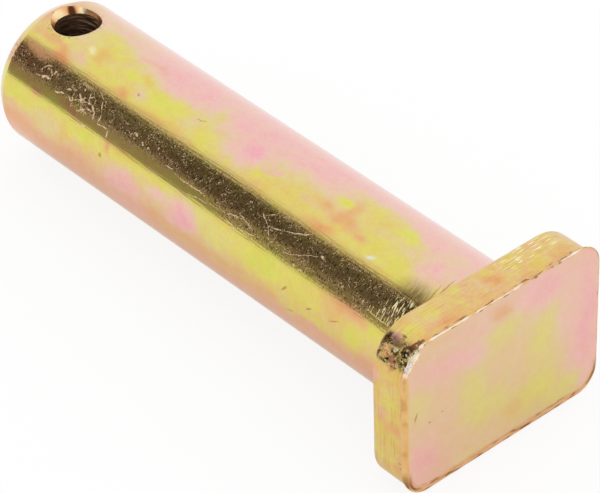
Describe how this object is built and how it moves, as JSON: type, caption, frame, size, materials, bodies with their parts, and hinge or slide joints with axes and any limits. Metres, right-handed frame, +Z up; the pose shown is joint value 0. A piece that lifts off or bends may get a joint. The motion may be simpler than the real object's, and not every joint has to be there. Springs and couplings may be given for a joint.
{
  "type": "lower link pin",
  "caption": "Round steel hitch pin forged in one piece with an oblong head that keeps it from turning, and a cross hole for a retaining clip near its free end.",
  "frame": {"origin": "on the shank's axis, in the plane of the seat under the head", "axes": "-X along the shank, from the seat to the free end; +X to the head's outer face; Y along the head's long side; +Z up, along the head's short side and the cross hole"},
  "size_m": [0.117, 0.044, 0.0316],
  "materials": {
    "yellow_zinc": "satin, zinc plated with a yellow chromate film"
  },
  "bodies": {
    "root": {"link_pin": "yellow_zinc"}
  },
  "joints": []
}
